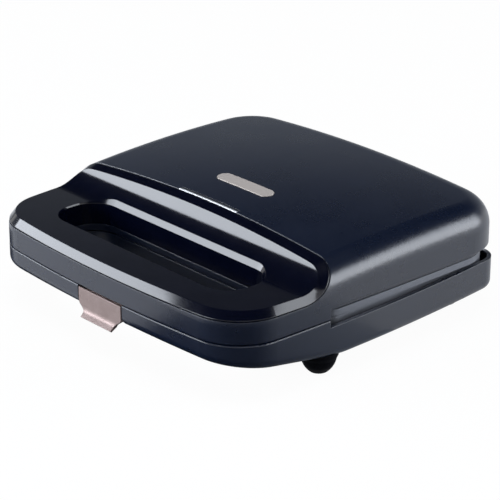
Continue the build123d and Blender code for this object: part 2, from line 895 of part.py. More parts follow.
# Lower handle deck: cover over the base's half of the handle
with BuildPart() as lower_handle_deck:
    add(column(base_plan(wall + fit_gap), deck_bottom, deck_top))
    add(slab((-reach, crease_y - wall - fit_gap, 0), (reach, reach, crown_height)), mode=Mode.SUBTRACT)
    add(column(slot_plan(slot_wall + fit_gap), 0, crown_height), mode=Mode.SUBTRACT)
    add(
        slab(
            (-latch_opening - pocket_wall - fit_gap, -reach, 0),
            (latch_opening + pocket_wall + fit_gap, pocket_back_y + pocket_wall + fit_gap, crown_height),
        ),
        mode=Mode.SUBTRACT,
    )
    for x, y in handle_posts:
        add(post(x, y, 0, deck_top - screw_tip_gap, screw_radius + screw_clearance), mode=Mode.SUBTRACT)
lower_handle_deck.part.label = "lower_handle_deck"
export_step(lower_handle_deck.part, "parts/lower_handle_deck.step")

# Feet: soft rubber cups pegged into the underside
for name, (x, y) in feet.items():
    with BuildPart() as foot:
        with BuildSketch(Plane.XZ):
            with BuildLine():
                Polyline((0, 0), (foot_tip_radius, 0))
                ThreePointArc(
                    (foot_tip_radius, 0),
                    (foot_tip_radius + foot_flare, foot_flare_height),
                    (foot_top_radius - foot_collar_step, foot_height - foot_collar),
                )
                Polyline(
                    (foot_top_radius - foot_collar_step, foot_height - foot_collar),
                    (foot_top_radius, foot_height),
                    (foot_top_radius, foot_height + bottom_radius),
                    (0, foot_height + bottom_radius),
                    (0, 0),
                )
            make_face()
        revolve(axis=Axis.Z)
    with BuildPart() as seated_foot:
        with Locations((x, y, 0)):
            add(foot.part)
        add(base_form.part, mode=Mode.SUBTRACT)
        add(slab((-reach, -reach, underside(y) + foot_peg_height), (reach, reach, reach)), mode=Mode.SUBTRACT)
        add(post(x, y, foot_height / 2, underside(y) + foot_peg_height, foot_peg_radius))
    seated_foot.part.label = name
    export_step(seated_foot.part, f"parts/{name}.step")


def plate_plan(casing_plan, inset):
    """Plan of a cooking plate: the casing's plan drawn in, cut off behind the handle."""
    with BuildSketch() as outline:
        add(casing_plan(inset))
        add(lid_plan(inset), mode=Mode.INTERSECT)
        with Locations((0, plate_front_y)):
            Rectangle(reach, reach, align=(Align.CENTER, Align.MAX), mode=Mode.SUBTRACT)
        fillet(outline.vertices().filter_by(lambda v: v.Y < plate_front_y + tiny), plate_corner_radius)
    return outline.sketch


def ribs(low, high, wide, narrow):
    """A row of raised grill ribs that run front to back, wide at the low level."""
    half_row = front_half_width - lower_plate_inset - plate_rim - rib_width
    count = 2 * int(half_row / rib_pitch) + 1
    with BuildPart() as solid:
        with BuildSketch(Plane.XZ.offset(-plate_front_y)):
            with GridLocations(rib_pitch, 1, count, 1):
                Polygon(
                    (-wide / 2, low),
                    (wide / 2, low),
                    (narrow / 2, high),
                    (-narrow / 2, high),
                    align=None,
                )
        extrude(amount=-body_depth)
    return solid.part


# Lower cooking plate: cast tray with ribs, standing on the base's four posts
lower_valley = lower_plate_bottom + plate_floor
lower_cook_plan = plate_plan(base_plan, lower_plate_inset + plate_rim)
with BuildPart() as lower_ribs:
    add(ribs(lower_valley - rib_root, lower_valley + rib_height, rib_width, rib_top_width))
    add(column(lower_cook_plan, 0, crown_height), mode=Mode.INTERSECT)

with BuildPart() as lower_plate:
    add(column(plate_plan(base_plan, lower_plate_inset), lower_plate_bottom, lower_plate_top))
    add(column(lower_cook_plan, lower_valley, crown_height), mode=Mode.SUBTRACT)
    add(lower_ribs.part)
    for x, y in plate_posts:
        add(
            post(x, y, 0, lower_valley - plate_screw_skin, plate_screw_radius + screw_clearance),
            mode=Mode.SUBTRACT,
        )
lower_plate.part.label = "lower_plate"
export_step(lower_plate.part, "parts/lower_plate.step")

# Upper cooking plate: the same tray upside down, its flange against the lid's skirt
upper_valley = upper_plate_top - plate_floor
upper_screw_seat = upper_valley + plate_screw_head_height + fit_gap
upper_cook_plan = plate_plan(lid_plan, upper_plate_inset + plate_rim)
with BuildPart() as upper_ribs:
    add(ribs(upper_valley + rib_root, upper_valley - rib_height, rib_width, rib_top_width))
    add(column(upper_cook_plan, 0, crown_height), mode=Mode.INTERSECT)

upper_flange_top = lid_skirt_bottom - plate_seam_gap
with BuildPart() as upper_plate:
    add(column(plate_plan(lid_plan, upper_plate_inset), upper_plate_bottom, upper_flange_top))
    add(column(plate_plan(lid_plan, upper_plate_shoulder), upper_plate_bottom, upper_plate_top))
    add(column(upper_cook_plan, 0, upper_valley), mode=Mode.SUBTRACT)
    add(upper_ribs.part)
    for x, y in plate_posts:
        add(post(x, y, 0, crown_height, plate_screw_radius + screw_clearance), mode=Mode.SUBTRACT)
        add(
            post(x, y, 0, upper_screw_seat, plate_screw_head_radius + fit_gap),
            mode=Mode.SUBTRACT,
        )
upper_plate.part.label = "upper_plate"
export_step(upper_plate.part, "parts/upper_plate.step")

# Heating elements: sheathed tubes bent to a U, with their terminal pins
element_front_y = plate_front_y + element_front_setback
element_rear_y = rear_y - element_rear_setback
pin_rear_y = element_rear_y + element_pin_length


def heating_element(z):
    legs = [
        (-element_spread, element_rear_y, z),
        (-element_spread, element_front_y, z),
        (element_spread, element_front_y, z),
        (element_spread, element_rear_y, z),
    ]
    with BuildPart() as solid:
        add(tube(legs, element_bend, element_radius))
        with BuildSketch(Plane.XZ.offset(-element_rear_y)):
            with Locations((-element_spread, z), (element_spread, z)):
                Circle(element_pin_radius)
        extrude(amount=-element_pin_length)
    return solid.part


def element_clips(z, plate_z):
    """Four saddles that hold a heater against its plate."""
    away = 1 if z > plate_z else -1
    far_z = z + away * (element_radius + clip_wall)
    along = (element_front_y + clip_front_setback, element_rear_y - clip_rear_setback)
    places = [(side * element_spread, y) for side in (-1, 1) for y in along]
    with BuildPart() as solid:
        for x, y in places:
            add(
                slab(
                    (x - clip_length / 2, y - clip_width / 2, min(plate_z, far_z)),
                    (x + clip_length / 2, y + clip_width / 2, max(plate_z, far_z)),
                )
            )
            with BuildSketch(Plane.XZ.offset(-y - clip_width)):
                with Locations((x, (z + plate_z) / 2)):
                    Rectangle(2 * element_radius + 2 * contact_gap, abs(z - plate_z))
                with Locations((x, z)):
                    Circle(element_radius + contact_gap)
            extrude(amount=2 * clip_width, mode=Mode.SUBTRACT)
    return solid.part


lower_element = heating_element(lower_element_z)
lower_element.label = "lower_heating_element"
export_step(lower_element, "parts/lower_heating_element.step")

upper_element = heating_element(upper_element_z)
upper_element.label = "upper_heating_element"
export_step(upper_element, "parts/upper_heating_element.step")

lower_clips = element_clips(lower_element_z, lower_plate_bottom)
lower_clips.label = "lower_element_clips"
export_step(lower_clips, "parts/lower_element_clips.step")

upper_clips = element_clips(upper_element_z, upper_plate_top)
upper_clips.label = "upper_element_clips"
export_step(upper_clips, "parts/upper_element_clips.step")

# Heat reflectors: thin sheets on the shoulders of the plate posts
thermostat_y = (element_front_y + element_rear_y) / 2


def reflector(z):
    with BuildPart() as solid:
        with BuildSketch(Plane.XY.offset(z)):
            add(lid_plan(upper_plate_shoulder + reflector_margin))
            with Locations((0, plate_front_y + reflector_margin)):
                Rectangle(reach, reach, align=(Align.CENTER, Align.MAX), mode=Mode.SUBTRACT)
            with Locations((0, plate_post_rear + plate_post_shoulder)):
                Rectangle(reach, reach, align=(Align.CENTER, Align.MIN), mode=Mode.SUBTRACT)
            with Locations(*plate_posts):
                Circle(plate_post_radius + fit_gap, mode=Mode.SUBTRACT)
            with Locations((0, thermostat_y)):
                Rectangle(5 * thermostat_radius, 3 * thermostat_radius, mode=Mode.SUBTRACT)
        extrude(amount=reflector_thickness)
    return solid.part


lower_reflector = reflector(lower_reflector_z)
lower_reflector.label = "lower_reflector"
export_step(lower_reflector, "parts/lower_reflector.step")

upper_reflector = reflector(upper_reflector_z)
upper_reflector.label = "upper_reflector"
export_step(upper_reflector, "parts/upper_reflector.step")

# Thermostat: snap-disc switch against the lower plate, with two blades, held by a strap
thermostat_top = lower_plate_bottom - contact_gap
thermostat_low = thermostat_top - thermostat_height
strap_half = thermostat_radius + strap_margin
strap_low = thermostat_low - strap_thickness
strap_slot_half = blade_inner + blade_thickness + fit_gap
with BuildPart() as thermostat:
    add(post(0, thermostat_y, thermostat_low, thermostat_top, thermostat_radius))
    fillet(thermostat.edges().group_by(Axis.Z)[-1], thermostat_edge_radius)
    for side in (-1, 1):
        blade = sorted((side * blade_inner, side * (blade_inner + blade_thickness)))
        add(
            slab(
                (blade[0], thermostat_y - blade_width / 2, thermostat_low - blade_length),
                (blade[1], thermostat_y + blade_width / 2, thermostat_low + blade_root),
            )
        )
thermostat.part.label = "thermostat"
export_step(thermostat.part, "parts/thermostat.step")

with BuildPart() as thermostat_strap:
    add(
        slab(
            (-strap_half, thermostat_y - strap_width / 2, strap_low),
            (strap_half, thermostat_y + strap_width / 2, lower_plate_bottom),
        )
    )
    add(
        slab(
            (-strap_half + strap_thickness, thermostat_y - strap_width, thermostat_low),
            (strap_half - strap_thickness, thermostat_y + strap_width, 2 * lower_plate_bottom),
        ),
        mode=Mode.SUBTRACT,
    )
    add(
        slab(
            (-strap_slot_half, thermostat_y - blade_width / 2 - blade_clearance, 0),
            (strap_slot_half, thermostat_y + blade_width / 2 + blade_clearance, lower_plate_bottom),
        ),
        mode=Mode.SUBTRACT,
    )
thermostat_strap.part.label = "thermostat_strap"
export_step(thermostat_strap.part, "parts/thermostat_strap.step")

# Thermal fuse: cut-out lying on the upper plate, with its two leads
fuse_z = upper_plate_top + fuse_radius + contact_gap
fuse_end = fuse_length / 2 + fuse_lead_length
with BuildPart() as thermal_fuse:
    add(rod(-fuse_length / 2, fuse_length / 2, thermostat_y, fuse_z, fuse_radius))
    add(rod(-fuse_end, fuse_end, thermostat_y, fuse_z, fuse_lead_radius))
thermal_fuse.part.label = "thermal_fuse"
export_step(thermal_fuse.part, "parts/thermal_fuse.step")

# Cord inlet: rubber bush in the rear wall, with a clamp and two screws inside
inlet_rear_y = rear_y - rear_bow * (inlet_x / base_rear_half_width) ** 2
gland_inner_y = rear_y - 2 * wall
with BuildPart() as cord_gland:
    with BuildSketch(Plane.XZ.offset(-gland_inner_y)):
        with Locations((inlet_x, inlet_z)):
            Circle(gland_radius)
    extrude(amount=-(inlet_rear_y - gland_inner_y + gland_flange))
    with BuildSketch(Plane.XZ.offset(-inlet_rear_y - contact_gap)):
        with Locations((inlet_x, inlet_z)):
            Circle(gland_flange_radius)
    extrude(amount=-(gland_flange - contact_gap))
    fillet(cord_gland.edges().group_by(Axis.Y)[-1], gland_edge_radius)
    with BuildSketch(Plane.XZ.offset(-gland_inner_y + wall)):
        with Locations((inlet_x, inlet_z)):
            Circle(inlet_radius)
    extrude(amount=-2 * clamp_setback, mode=Mode.SUBTRACT)
cord_gland.part.label = "cord_gland"
export_step(cord_gland.part, "parts/cord_gland.step")

clamp_top = foot_height + clamp_rise
clamp_front_y = gland_inner_y - clamp_setback
clamp_rear_y = clamp_front_y + clamp_depth
clamp_middle_y = clamp_front_y + clamp_depth / 2
clamp_screws_at = [(inlet_x + side * clamp_screw_spread, clamp_middle_y) for side in (-1, 1)]
clamp_screw_length = clamp_top - base_floor - clamp_screw_floor
with BuildPart() as cord_clamp:
    add(
        slab(
            (inlet_x - clamp_half, clamp_front_y, base_floor),
            (inlet_x + clamp_half, clamp_rear_y, clamp_top),
        )
    )
    with BuildSketch(Plane.XZ.offset(-clamp_front_y + clamp_depth)):
        with Locations((inlet_x, inlet_z)):
            Circle(inlet_radius)
    extrude(amount=-3 * clamp_depth, mode=Mode.SUBTRACT)
    for x, y in clamp_screws_at:
        add(
            post(x, y, base_floor + clamp_screw_floor, 2 * clamp_top, screw_radius + screw_clearance),
            mode=Mode.SUBTRACT,
        )
cord_clamp.part.label = "cord_clamp"
export_step(cord_clamp.part, "parts/cord_clamp.step")

# Terminal block: three-way mains connector on the base floor
block_front_y = pin_rear_y + block_setback
block_rear_y = block_front_y + block_depth
block_top = base_floor + block_height
wire_z = base_floor + wire_rise
with BuildPart() as terminal_block:
    add(slab((-block_half, block_front_y, base_floor), (block_half, block_rear_y, block_top)))
    fillet(terminal_block.edges().filter_by(Axis.Z), block_edge_radius)
    with Locations((0, (block_front_y + block_rear_y) / 2, block_top)):
        with GridLocations(block_pitch, 1, block_ways, 1):
            Cylinder(
                block_well_radius,
                block_well_depth,
                align=(Align.CENTER, Align.CENTER, Align.MAX),
                mode=Mode.SUBTRACT,
            )
terminal_block.part.label = "terminal_block"
export_step(terminal_block.part, "parts/terminal_block.step")

# Wiring: heat-proof leads inside the base and the lid
sleeve_inner_y = rear_y - wall - sleeve_inset
bay_y = (pin_rear_y + block_front_y) / 2
with BuildPart() as base_wiring:
    for side in (-1, 1):
        add(
            tube(
                [
                    (side * element_spread, pin_rear_y + wire_gap, lower_element_z),
                    (side * element_spread, bay_y, lower_element_z),
                    (side * block_pitch, bay_y, wire_z),
                    (side * block_pitch, block_front_y - wire_gap, wire_z),
                ],
                wire_bend,
                wire_radius,
            )
        )
    add(
        tube(
            [
                (0, block_rear_y + wire_gap, wire_z),
                (0, block_rear_y + wire_run, wire_z),
                (sleeve_x, sleeve_inner_y - wire_run, sleeve_low),
                (sleeve_x, sleeve_inner_y - wire_gap, sleeve_low),
            ],
            wire_bend,
            wire_radius,
        )
    )
base_wiring.part.label = "base_wiring"
export_step(base_wiring.part, "parts/base_wiring.step")

with BuildPart() as lid_wiring:
    for side in (-1, 1):
        start_x = sleeve_x + side * lid_wire_spread
        add(
            tube(
                [
                    (start_x, sleeve_inner_y - wire_gap, sleeve_high),
                    (start_x, sleeve_inner_y - lid_wire_run, sleeve_high),
                    (side * element_spread, pin_rear_y + lid_wire_setback, upper_element_z),
                    (side * element_spread, pin_rear_y + wire_gap, upper_element_z),
                ],
                wire_bend,
                wire_radius,
            )
        )
lid_wiring.part.label = "lid_wiring"
export_step(lid_wiring.part, "parts/lid_wiring.step")

# Hinge cable sleeve: flexible tube that takes the lid's leads round the hinge
sleeve_out_y = hinge_y + hinge_radius - sleeve_radius
hinge_cable_sleeve = tube(
    [
        (sleeve_x, sleeve_inner_y, sleeve_low),
        (sleeve_x, sleeve_out_y, sleeve_low),
        (sleeve_x, sleeve_out_y, sleeve_high),
        (sleeve_x, sleeve_inner_y, sleeve_high),
    ],
    sleeve_bend,
    sleeve_radius,
)
hinge_cable_sleeve.label = "hinge_cable_sleeve"
export_step(hinge_cable_sleeve, "parts/hinge_cable_sleeve.step")

# Hinge pins: steel pins through the base ears and the lid knuckles
pin_reach = knuckle_width / 2 + hinge_side_gap + ear_width + pin_head
for name, side in (("hinge_pin_left", -1), ("hinge_pin_right", 1)):
    hinge_pin = rod(
        side * hinge_spread - pin_reach,
        side * hinge_spread + pin_reach,
        hinge_y,
        hinge_z,
        hinge_pin_radius,
    )
    hinge_pin.label = name
    export_step(hinge_pin, f"parts/{name}.step")

# Pilot lamps: two neon lamps behind the lens, in a holder under the lid's roof
lamp_y = front_y + trim_lip_setback + lamp_setback
lamp_z = lens_bottom - lamp_drop
holder_front_y = lamp_y + lamp_radius + contact_gap
with BuildPart() as lamp_holder:
    add(
        slab(
            (-holder_half, holder_front_y, lamp_z - lamp_radius),
            (holder_half, holder_front_y + holder_depth, 2 * crown_height),
        )
    )
    add(crown(-wall - contact_gap), mode=Mode.INTERSECT)
lamp_holder.part.label = "lamp_holder"
export_step(lamp_holder.part, "parts/lamp_holder.step")

for name, side in (("power_lamp", -1), ("ready_lamp", 1)):
    with BuildPart() as lamp:
        add(
            rod(
                side * lamp_spread - lamp_length / 2,
                side * lamp_spread + lamp_length / 2,
                lamp_y,
                lamp_z,
                lamp_radius,
            )
        )
        fillet(lamp.edges().filter_by(GeomType.CIRCLE), lamp_end_radius)
    lamp.part.label = name
    export_step(lamp.part, f"parts/{name}.step")

# Screws, grouped by what they hold
lower_screw_length = lower_valley - plate_screw_skin - plate_screw_tip_gap - plate_seat
lower_screw = screw(plate_screw_radius, lower_screw_length, plate_screw_head_radius, plate_screw_head_height)
with BuildPart() as plate_screws_lower:
    with Locations(*[(x, y, plate_seat - plate_screw_head_height) for x, y in plate_posts]):
        add(lower_screw)
plate_screws_lower.part.label = "plate_screws_lower"
export_step(plate_screws_lower.part, "parts/plate_screws_lower.step")

upper_screw_low = upper_valley + fit_gap
upper_screw_top = upper_plate_top + plate_screw_bite - plate_screw_tip_gap
upper_screw_length = upper_screw_top - upper_screw_low - plate_screw_head_height
upper_screw = screw(plate_screw_radius, upper_screw_length, plate_screw_head_radius, plate_screw_head_height)
with BuildPart() as plate_screws_upper:
    with Locations(*[(x, y, upper_screw_low) for x, y in plate_posts]):
        add(upper_screw)
plate_screws_upper.part.label = "plate_screws_upper"
export_step(plate_screws_upper.part, "parts/plate_screws_upper.step")

trim_screw_length = tray_thickness - screw_recess + trim_screw_bite - screw_tip_gap
trim_screw = screw(screw_radius, trim_screw_length, screw_head_radius, screw_head_height)
with BuildPart() as trim_screws:
    with Locations(*[(x, y, parting_height + screw_recess - screw_head_height) for x, y in handle_posts]):
        add(trim_screw)
trim_screws.part.label = "trim_screws"
export_step(trim_screws.part, "parts/trim_screws.step")

with BuildPart() as deck_screws:
    for x, y in handle_posts:
        seat = deck_seat[x, y]
        deck_screw_length = deck_top - 2 * screw_tip_gap - seat
        with Locations((x, y, seat - screw_head_height)):
            add(screw(screw_radius, deck_screw_length, screw_head_radius, screw_head_height))
deck_screws.part.label = "deck_screws"
export_step(deck_screws.part, "parts/deck_screws.step")

clamp_screw = screw(screw_radius, clamp_screw_length - contact_gap, screw_head_radius, screw_head_height)
with BuildPart() as clamp_screws:
    for x, y in clamp_screws_at:
        with Locations(Plane((x, y, clamp_top + screw_head_height), x_dir=(1, 0, 0), z_dir=(0, 0, -1))):
            add(clamp_screw)
clamp_screws.part.label = "clamp_screws"
export_step(clamp_screws.part, "parts/clamp_screws.step")
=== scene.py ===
import bpy
import math
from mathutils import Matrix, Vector


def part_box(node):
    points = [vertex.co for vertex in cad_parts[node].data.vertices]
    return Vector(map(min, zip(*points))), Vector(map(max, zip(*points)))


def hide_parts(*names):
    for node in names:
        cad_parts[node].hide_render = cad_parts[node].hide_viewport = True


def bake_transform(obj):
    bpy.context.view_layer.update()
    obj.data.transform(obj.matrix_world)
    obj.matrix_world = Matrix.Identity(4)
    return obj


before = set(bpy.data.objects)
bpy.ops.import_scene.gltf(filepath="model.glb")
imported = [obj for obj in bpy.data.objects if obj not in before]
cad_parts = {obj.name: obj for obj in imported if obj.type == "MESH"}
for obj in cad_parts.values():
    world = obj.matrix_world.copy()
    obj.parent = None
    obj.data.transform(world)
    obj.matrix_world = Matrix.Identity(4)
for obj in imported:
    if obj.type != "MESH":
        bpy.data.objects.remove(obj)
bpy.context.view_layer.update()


# Base shell: the lower casing, a deep tub with the lower half of the handle and the tube of the finger slot.
# One injection moulding in near-black navy plastic, with a fine satin grain from the etched mould.
def set_values(node, values):
    """Plain values put on a node's named sockets."""
    for label, value in values.items():
        node.inputs[label].default_value = value


def start_group(name, inputs, outputs):
    """An empty shader node group with named sockets."""
    tree = bpy.data.node_groups.new(name, "ShaderNodeTree")
    for label, kind in inputs:
        tree.interface.new_socket(label, in_out="INPUT", socket_type=kind)
    for label, kind in outputs:
        tree.interface.new_socket(label, in_out="OUTPUT", socket_type=kind)
    return tree, tree.nodes.new("NodeGroupInput"), tree.nodes.new("NodeGroupOutput")


def make_finish(name, group, detail, colours, roughness, bump, bump_depth, edge_radius=0.0,
                colour_by="Mottle", roughness_by="Mottle", constants=None):
    """A material led by one node group: two mixed colours, a range of roughness and a fine bump."""
    finish = bpy.data.materials.new(name)
    finish.use_nodes = True
    tree = finish.node_tree
    surface = tree.nodes["Principled BSDF"]
    set_values(surface, constants or {})
    place = tree.nodes.new("ShaderNodeTexCoord")
    place.name = "place"
    texture = tree.nodes.new("ShaderNodeGroup")
    texture.node_tree = group
    set_values(texture, detail)
    colour = tree.nodes.new("ShaderNodeMix")
    colour.name = "colour"
    colour.data_type = "RGBA"
    set_values(colour, {"A": (*colours[0], 1), "B": (*colours[1], 1)})
    dulling = tree.nodes.new("ShaderNodeMapRange")
    set_values(dulling, {"To Min": roughness[0], "To Max": roughness[1]})
    relief = tree.nodes.new("ShaderNodeBump")
    set_values(relief, {"Strength": bump, "Distance": bump_depth})
    if edge_radius:
        softened = tree.nodes.new("ShaderNodeBevel")
        softened.inputs["Radius"].default_value = edge_radius
        tree.links.new(softened.outputs["Normal"], relief.inputs["Normal"])
    tree.links.new(place.outputs["Object"], texture.inputs["Place"])
    tree.links.new(texture.outputs[colour_by], colour.inputs["Factor"])
    tree.links.new(colour.outputs["Result"], surface.inputs["Base Color"])
    tree.links.new(texture.outputs[roughness_by], dulling.inputs["Value"])
    tree.links.new(dulling.outputs["Result"], surface.inputs["Roughness"])
    tree.links.new(texture.outputs["Height"], relief.inputs["Height"])
    tree.links.new(relief.outputs["Normal"], surface.inputs["Normal"])
    return finish


def dress(finish, *nodes):
    """Puts a finish on CAD nodes."""
    for name in nodes:
        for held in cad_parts[name].material_slots:
            held.material = finish


grain, grain_in, grain_out = start_group(
    "moulded_grain",
    [("Place", "NodeSocketVector"), ("Fineness", "NodeSocketFloat"), ("Cloudiness", "NodeSocketFloat")],
    [("Height", "NodeSocketFloat"), ("Mottle", "NodeSocketFloat")],
)
pits = grain.nodes.new("ShaderNodeTexVoronoi")
pits.feature = "SMOOTH_F1"
crumbs = grain.nodes.new("ShaderNodeTexNoise")
crumbs.inputs["Detail"].default_value = 3
flow = grain.nodes.new("ShaderNodeTexNoise")
flow.inputs["Detail"].default_value = 4
flow.inputs["Roughness"].default_value = 0.6
grain_sum = grain.nodes.new("ShaderNodeMath")
grain_sum.operation = "ADD"
flow_mask = grain.nodes.new("ShaderNodeMapRange")
flow_mask.inputs["From Min"].default_value = 0.32
flow_mask.inputs["From Max"].default_value = 0.68
for texture in (pits, crumbs, flow):
    grain.links.new(grain_in.outputs["Place"], texture.inputs["Vector"])
for texture in (pits, crumbs):
    grain.links.new(grain_in.outputs["Fineness"], texture.inputs["Scale"])
grain.links.new(grain_in.outputs["Cloudiness"], flow.inputs["Scale"])
grain.links.new(pits.outputs["Distance"], grain_sum.inputs[0])
grain.links.new(crumbs.outputs["Fac"], grain_sum.inputs[1])
grain.links.new(flow.outputs["Fac"], flow_mask.inputs["Value"])
grain.links.new(grain_sum.outputs["Value"], grain_out.inputs["Height"])
grain.links.new(flow_mask.outputs["Result"], grain_out.inputs["Mottle"])

navy_satin = make_finish(
    "navy_satin_moulding", grain, {"Fineness": 1500, "Cloudiness": 24},
    colours=((0.0006, 0.0038, 0.0150), (0.0010, 0.0048, 0.0180)), roughness=(0.26, 0.31),
    bump=0.10, bump_depth=0.00006, edge_radius=0.0008, constants={"Specular IOR Level": 0.85},
)
dress(navy_satin, "base_shell")

# Lower handle deck: the flat cover that closes the base's half of the handle, screwed down from below.
# Plain moulded plastic, blacker and duller than the casing because it is seldom seen.
deck_matt = make_finish(
    "black_matt_moulding", grain, {"Fineness": 1100, "Cloudiness": 40},
    colours=((0.0050, 0.0052, 0.0065), (0.0090, 0.0092, 0.0105)), roughness=(0.48, 0.60),
    bump=0.18, bump_depth=0.00008,
)
dress(deck_matt, "lower_handle_deck")

# Feet and cord gland: soft black cups pegged into the underside of the base, and the bush of the inlet.
# Moulded rubber with a dull bloom that gathers in cloudy patches.
rubber = make_finish(
    "black_rubber", grain, {"Fineness": 900, "Cloudiness": 130},
    colours=((0.0006, 0.0007, 0.0018), (0.0014, 0.0015, 0.0028)), roughness=(0.42, 0.62),
    bump=0.20, bump_depth=0.00010, constants={"Specular IOR Level": 0.06},
)
dress(rubber, "foot_front_left", "foot_front_right", "foot_rear_left", "foot_rear_right", "cord_gland")

# Cooking plates: pressure-cast aluminium trays with raised ribs, screwed to posts in base and lid.
# A dark grey non-stick coat, sprayed on, with fine metallic flecks and a slight orange-peel.
plate_coat = make_finish(
    "plate_nonstick_coat", grain, {"Fineness": 700, "Cloudiness": 35},
    colours=((0.155, 0.163, 0.185), (0.30, 0.30, 0.32)), roughness=(0.36, 0.50),
    bump=0.16, bump_depth=0.00012, constants={"Metallic": 0.6},
)
tree = plate_coat.node_tree
flecks = tree.nodes.new("ShaderNodeTexVoronoi")
flecks.inputs["Scale"].default_value = 1400
fleck_mask = tree.nodes.new("ShaderNodeMapRange")
set_values(fleck_mask, {"From Min": 0.10, "From Max": 0.22, "To Min": 1, "To Max": 0})
tree.links.new(tree.nodes["place"].outputs["Object"], flecks.inputs["Vector"])
tree.links.new(flecks.outputs["Distance"], fleck_mask.inputs["Value"])
tree.links.new(fleck_mask.outputs["Result"], tree.nodes["colour"].inputs["Factor"])
dress(plate_coat, "lower_plate", "upper_plate")

# Sheet steel: reflectors, heater clips, thermostat strap and the can of the overheat cut-out.
# Rolled aluminised sheet, with fine lines along the rolling direction and cloudy spangle.
lines, lines_in, lines_out = start_group(
    "drawn_lines",
    [("Place", "NodeSocketVector"), ("Stretch", "NodeSocketVector"), ("Fineness", "NodeSocketFloat")],
    [("Height", "NodeSocketFloat"), ("Mottle", "NodeSocketFloat")],
)
drawn = lines.nodes.new("ShaderNodeVectorMath")
drawn.operation = "MULTIPLY"
streaks = lines.nodes.new("ShaderNodeTexNoise")
streaks.inputs["Detail"].default_value = 4
clouds = lines.nodes.new("ShaderNodeTexNoise")
clouds.inputs["Scale"].default_value = 90
lines.links.new(lines_in.outputs["Place"], drawn.inputs[0])
lines.links.new(lines_in.outputs["Stretch"], drawn.inputs[1])
lines.links.new(drawn.outputs["Vector"], streaks.inputs["Vector"])
lines.links.new(lines_in.outputs["Fineness"], streaks.inputs["Scale"])
lines.links.new(lines_in.outputs["Place"], clouds.inputs["Vector"])
lines.links.new(streaks.outputs["Fac"], lines_out.inputs["Height"])
lines.links.new(clouds.outputs["Fac"], lines_out.inputs["Mottle"])

sheet_steel = make_finish(
    "aluminised_sheet_steel", lines, {"Stretch": (0.05, 1, 1), "Fineness": 1600},
    colours=((0.50, 0.50, 0.51), (0.66, 0.66, 0.67)), roughness=(0.22, 0.42), roughness_by="Height",
    bump=0.10, bump_depth=0.00004, constants={"Metallic": 1},
)
dress(sheet_steel, "lower_reflector", "upper_reflector", "lower_element_clips", "upper_element_clips",
      "thermostat_strap", "thermal_fuse")

# Heating elements: sheathed tubular heaters bent to a U, clipped to the backs of the plates.
# Steel sheath with blue and straw heat tints along its length and a dull oxide bloom.
heater_sheath = make_finish(
    "heat_tinted_sheath", lines, {"Stretch": (1, 1, 1), "Fineness": 500},
    colours=((0.20, 0.17, 0.13), (0.22, 0.23, 0.30)), roughness=(0.38, 0.55), roughness_by="Height",
    bump=0.12, bump_depth=0.00005, constants={"Metallic": 1},
)
dress(heater_sheath, "lower_heating_element", "upper_heating_element")

# Thermostat: snap-disc switch in an unglazed ceramic body, pressed against the lower plate by its strap.
# Chalky off-white body with a fired speckle.
switch_body = make_finish(
    "unglazed_switch_body", grain, {"Fineness": 2200, "Cloudiness": 300},
    colours=((0.66, 0.63, 0.56), (0.76, 0.74, 0.68)), roughness=(0.68, 0.80),
    bump=0.25, bump_depth=0.00008,
)
dress(switch_body, "thermostat")

# Terminal block: three-way mains connector, snapped to the floor of the base.
# Natural nylon, waxy and slightly yellow.
natural_nylon = make_finish(
    "natural_nylon", grain, {"Fineness": 1300, "Cloudiness": 160},
    colours=((0.74, 0.71, 0.62), (0.82, 0.80, 0.73)), roughness=(0.40, 0.52),
    bump=0.12, bump_depth=0.00006,
)
dress(natural_nylon, "terminal_block")

# Cord clamp and lamp holder: small black mouldings inside the casings.
# They take the same dull plastic as the handle deck.
dress(deck_matt, "cord_clamp", "lamp_holder")

# Leads: stranded wire in pale silicone insulation, from the terminal block to heaters and hinge sleeve.
# Silicone is dull, with a faint dusty cloud.
silicone = make_finish(
    "silicone_insulation", grain, {"Fineness": 1800, "Cloudiness": 220},
    colours=((0.58, 0.58, 0.56), (0.70, 0.70, 0.68)), roughness=(0.48, 0.62),
    bump=0.10, bump_depth=0.00005,
)
dress(silicone, "base_wiring", "lid_wiring")

# Lid shell: the upper casing, a crowned cover that rolls over into its sides, with the tray of the handle.
# The same navy satin moulding as the base.
dress(navy_satin, "lid_shell")

# Handle trim: dished cover of the handle, sprung into the lid and screwed from below.
# Moulded in near-black plastic with a polished face, under the faintest ripple of the moulding.
trim_gloss = make_finish(
    "near_black_polished_moulding", grain, {"Fineness": 240, "Cloudiness": 60},
    colours=((0.0006, 0.0012, 0.0055), (0.0010, 0.0017, 0.0070)), roughness=(0.10, 0.14),
    bump=0.02, bump_depth=0.00004, edge_radius=0.0005,
)
dress(trim_gloss, "handle_trim")

# Indicator lens: a clear strip let into the front edge of the lid, which carries the pilot lamps' light.
# Frosted clear plastic, pale grey in front where the frost scatters the light; the near-black rear, in the
# seam behind, is painted shade.
lens_frost_and_seam_shade = make_finish(
    "frosted_lens_painted_seam_shade", grain, {"Fineness": 2600, "Cloudiness": 180},
    colours=((0.80, 0.81, 0.83), (0.020, 0.022, 0.028)), roughness=(0.20, 0.32),
    bump=0.10, bump_depth=0.00005, constants={"Coat Weight": 0.4},
)
# Mask along Y: pale frost in front, painted seam shade behind.
frost_end, seam_shade_start = 0.50, 0.70
lens_low, lens_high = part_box("indicator_lens")
lens_depth = lens_high[1] - lens_low[1]
tree = lens_frost_and_seam_shade.node_tree
across = tree.nodes.new("ShaderNodeSeparateXYZ")
frost_to_seam_shade_mask = tree.nodes.new("ShaderNodeMapRange")
set_values(frost_to_seam_shade_mask, {"From Min": lens_low[1] + frost_end * lens_depth,
                        "From Max": lens_low[1] + seam_shade_start * lens_depth})
tree.links.new(tree.nodes["place"].outputs["Object"], across.inputs["Vector"])
tree.links.new(across.outputs["Y"], frost_to_seam_shade_mask.inputs["Value"])
